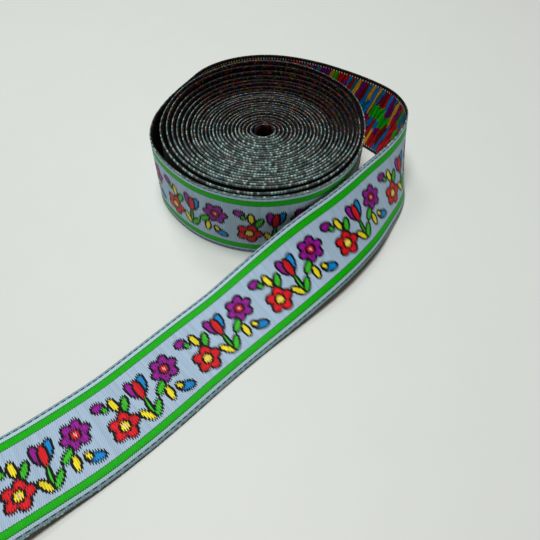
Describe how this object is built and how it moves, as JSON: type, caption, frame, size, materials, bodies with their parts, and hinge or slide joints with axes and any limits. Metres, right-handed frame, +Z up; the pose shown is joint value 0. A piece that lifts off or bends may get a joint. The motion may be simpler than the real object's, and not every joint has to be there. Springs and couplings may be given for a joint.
{
  "type": "ribbon trim roll",
  "caption": "Roll of narrow woven ribbon trim standing on its edge, with its outer turn loose and its free end turned round and laid flat on the table.",
  "frame": {"origin": "on the table under the middle of the roll", "axes": "+Z up along the roll's winding axis, +X towards the side where the ribbon leaves and turns, -Y towards the laid out end"},
  "size_m": [0.1076, 0.1436, 0.022],
  "materials": {
    "wound_edges": "the woven edges of the wound turns, grey with dark gaps and small coloured specks",
    "ribbon_face": "pale blue-grey jacquard with two bright green satin stripes and small coloured motifs"
  },
  "bodies": {
    "root": {"roll": "wound_edges", "tail": "ribbon_face"}
  },
  "joints": []
}
